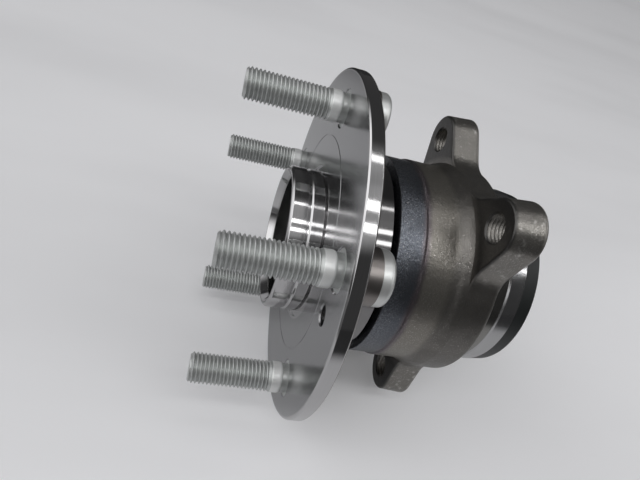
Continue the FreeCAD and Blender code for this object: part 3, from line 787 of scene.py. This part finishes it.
# The outer front edge of the fixed ring is nearly sharp.
def sharpenRingEdge(mesh):
    sizes = ringEdgeSizes
    cut = sizes["edge"] - sizes["shownEdge"]
    for vertex in mesh.vertices:
        radius = math.hypot(vertex.co.x, vertex.co.z) / mm
        inward = sizes["radius"] - radius
        behind = vertex.co.y / mm - sizes["place"]
        onFace = abs(behind) < sizes["nearPlace"]
        onBarrel = abs(inward) < sizes["nearRadius"]
        if onFace and abs(inward - sizes["edge"]) < sizes["nearRadius"]:
            vertex.co.x *= 1 + cut / radius
            vertex.co.z *= 1 + cut / radius
        elif onBarrel and abs(behind - sizes["edge"]) < sizes["nearPlace"]:
            vertex.co.y -= cut * mm
    mesh.update()


def makeOuterRing():
    sizes = earSizes
    taps = []
    for angle in sizes["angles"]:
        thing = objectWith(bpy.data.meshes.new("tap"))
        threadRule.runOn(thing, threadValues(sizes))
        tap = cleaned(bakedMesh(thing), closeEnds=True)
        tap.transform(Matrix.Translation(onCircle(sizes["circle"], angle)))
        taps.append(tap)
    mesh = mergedCopy("outer_ring")
    sharpenRingEdge(mesh)
    mesh = carved(mesh, taps, "DIFFERENCE")
    pieceFrom(softened(mesh), "fixedRing", "forged", "fixed_ring", ["outer_ring"])


makeOuterRing()
print("fixed ring made")

ballSizes = {"count": 13, "circle": 30.0, "radius": 6.35, "seed": 7, "fineness": 4,
             "rows": {"outboard": 38.0, "inboard": 67.0}}


def makeBalls(side, along):
    sizes = ballSizes
    work = bmesh.new()
    bmesh.ops.create_icosphere(work, subdivisions=sizes["fineness"], radius=sizes["radius"] * mm)
    mesh = bpy.data.meshes.new("ball")
    work.to_mesh(mesh)
    work.free()
    for polygon in mesh.polygons:
        polygon.use_smooth = True
    names = [f"{side}_ball_{number + 1:02d}" for number in range(sizes["count"])]
    pieceFrom(repeated(mesh, sizes, 0.0, along, "race"), f"{side}Balls", "race",
              f"{side}_ball_row", names)


for side, along in ballSizes["rows"].items():
    makeBalls(side, along)
print("ball rows made")

# Nodes whose own shape is right. They are shown as smooth copies.
smoothCopies = {
    "inner_ring": ("innerRing", "race", "hub", "race_steel"),
    "outboard_cage": ("outboardCage", "cage", "outboard_ball_row", "cage_polymer"),
    "inboard_cage": ("inboardCage", "cage", "inboard_ball_row", "cage_polymer"),
    "outboard_seal_case": ("outboardSealCase", "case", "fixed_ring", "seal_steel"),
    "outboard_seal_lip": ("outboardSealLip", "lip", "fixed_ring", "seal_rubber"),
    "inboard_seal_case": ("inboardSealCase", "case", "fixed_ring", "seal_steel"),
    "inboard_seal_lip": ("inboardSealLip", "lip", "fixed_ring", "seal_rubber"),
    "seal_slinger": ("sealSlinger", "case", "hub", "seal_steel"),
    "encoder_ring": ("encoderRing", "encoder", "hub", "encoder_rubber"),
    "rear_cover_ring": ("rearCoverRing", "cover", "fixed_ring", "black_steel"),
}
for node, (name, finish, body, slotName) in smoothCopies.items():
    pieceFrom(softened(mergedCopy(node)), name, finish, body, [node])
print("seals, cages and cover made")


stageSizes = {
    "floor": -71.9,
    "reach": 4000.0,
    "seen": (260.0, 420.0),
    "cloudScale": 0.010,
    "streakTurn": 0.5,
    "streakStretch": 0.25,
    "cloudShade": 0.88,
    "tone": (0.735, 0.735, 0.75),
    "roomTone": (0.03, 0.03, 0.031),
    "shownTone": (0.90, 0.90, 0.92),
    "shownGlow": 0.075,
}


# A pale sheet. Away from the part, polished metal shows the dark room in its place, and the
# camera sees the sheet paler than it lights the part.
def makeStage():
    sizes = stageSizes
    reach = sizes["reach"] * mm
    mesh = bpy.data.meshes.new("floor")
    corners = [(-reach, -reach), (reach, -reach), (reach, reach), (-reach, reach)]
    mesh.from_pydata([(x, y, sizes["floor"] * mm) for x, y in corners], [], [(0, 1, 2, 3)])
    floor = objectWith(mesh, "floor")
    finish = Finish("floorSheet")
    streaks = finish.node("ShaderNodeMapping", None, {
        "Vector": finish.place, "Rotation": (0, 0, sizes["streakTurn"]),
        "Scale": (1.0, sizes["streakStretch"], 1.0)})
    cloud = finish.noise(sizes["cloudScale"], 3.0, 0.5, streaks)
    tone, shown = sizes["tone"], sizes["shownTone"]
    colour = finish.mixed(cloud, shaded(tone, sizes["cloudShade"]), tone)
    distance = (finish.x * finish.x + finish.y * finish.y) ** 0.5
    inMetal = finish.node("ShaderNodeLightPath").out("Is Glossy Ray")
    colour = finish.mixed(finish.step(distance, *sizes["seen"]) * inMetal, colour, sizes["roomTone"])
    toCamera = finish.node("ShaderNodeLightPath").out("Is Camera Ray")
    seen = finish.mixed(cloud, shaded(shown, sizes["cloudShade"]), shown)
    colour = finish.mixed(toCamera, colour, seen)
    glow = finish.mixed(toCamera * (0.6 + cloud * 0.8), (0.0, 0.0, 0.0), (sizes["shownGlow"],) * 3)
    finish.shader.inputs["Emission Strength"].default_value = 1.0
    finish.feed(Base_Color=colour, Roughness=0.5 + (cloud - 0.5) * 0.1, Emission_Color=glow)
    mesh.materials.append(finish.material)


# Three strip lamps overhead, which the turned faces show as bright bands.
lamps = {
    "leftStrip": {"place": (-0.22, 0.12, 1.17), "size": (1.9, 0.07), "watts": 1.2},
    "upperStrip": {"place": (0.36, 0.12, 1.13), "size": (1.9, 0.10), "watts": 2.6},
    "lowerStrip": {"place": (0.60, 0.12, 1.02), "size": (1.9, 0.09), "watts": 2.2},
}


def makeLamps():
    for name, sizes in lamps.items():
        data = bpy.data.lights.new(name, "AREA")
        data.shape = "RECTANGLE"
        data.size, data.size_y = sizes["size"]
        data.energy = sizes["watts"]
        lamp = bpy.data.objects.new(name, data)
        lamp.location = Vector(sizes["place"])
        away = Vector(sizes["place"]).normalized()
        along = Vector((0, 1, 0))
        across = away.cross(along).normalized()
        turn = Matrix((across.cross(away), across, away)).transposed()
        lamp.rotation_mode = "QUATERNION"
        lamp.rotation_quaternion = turn.to_quaternion()
        scene.collection.objects.link(lamp)


# Borders are the (from, to) of a soft change in the direction's own X, Y or Z.
roomSizes = {
    "ceilingHeight": (0.64, 0.79),
    "ceilingSide": (-0.42, -0.12),
    "studEnd": (0.45, 0.70),
    "studEndLevel": 1.4,
    "knuckleEnd": (0.74, 0.92),
    "knuckleEndLevel": 1.5,
    "endHeight": (0.02, 0.42),
    "darkLevel": 0.05,
    "ceilingLevel": 0.08,
    "ceilingBroken": 0.5,
    "shownLevel": 0.62,
    "colour": (0.99, 0.99, 1.0, 1),
}


# A dark room, pale near the strip lamps, with broad light from both ends of the spin axis. The
# camera itself sees it evenly pale.
class Surroundings(Tree):
    def __init__(self):
        sizes = roomSizes
        self.world = bpy.data.worlds.new("surroundings")
        self.world.use_nodes = True
        self.tree = self.world.node_tree
        direction = self.node("ShaderNodeTexCoord").out("Generated")
        parts = self.node("ShaderNodeSeparateXYZ", None, (direction,))
        right, along, height = parts.out("X"), parts.out("Y"), parts.out("Z")
        ceiling = self.step(height, *sizes["ceilingHeight"]) * self.step(right, *sizes["ceilingSide"])
        ends = self.step(-1.0 * along, *sizes["studEnd"]) * sizes["studEndLevel"]
        ends = ends + self.step(along, *sizes["knuckleEnd"]) * sizes["knuckleEndLevel"]
        ends = ends * self.step(height, *sizes["endHeight"])
        broken = self.node("ShaderNodeTexNoise", None, {
            "Vector": direction, "Scale": 4.0, "Detail": 2.0})
        bright = ceiling * (sizes["ceilingLevel"] + broken * sizes["ceilingBroken"])
        level = sizes["darkLevel"] + bright + ends
        toCamera = self.node("ShaderNodeLightPath").out("Is Camera Ray")
        level = level + toCamera * (sizes["shownLevel"] - level)
        shade = self.tree.nodes["Background"]
        self.tree.links.new(level.socket, shade.inputs["Strength"])
        shade.inputs["Color"].default_value = sizes["colour"]


makeStage()
makeLamps()
scene.world = Surroundings().world
scene.view_settings.view_transform = "Standard"
print("stage made")
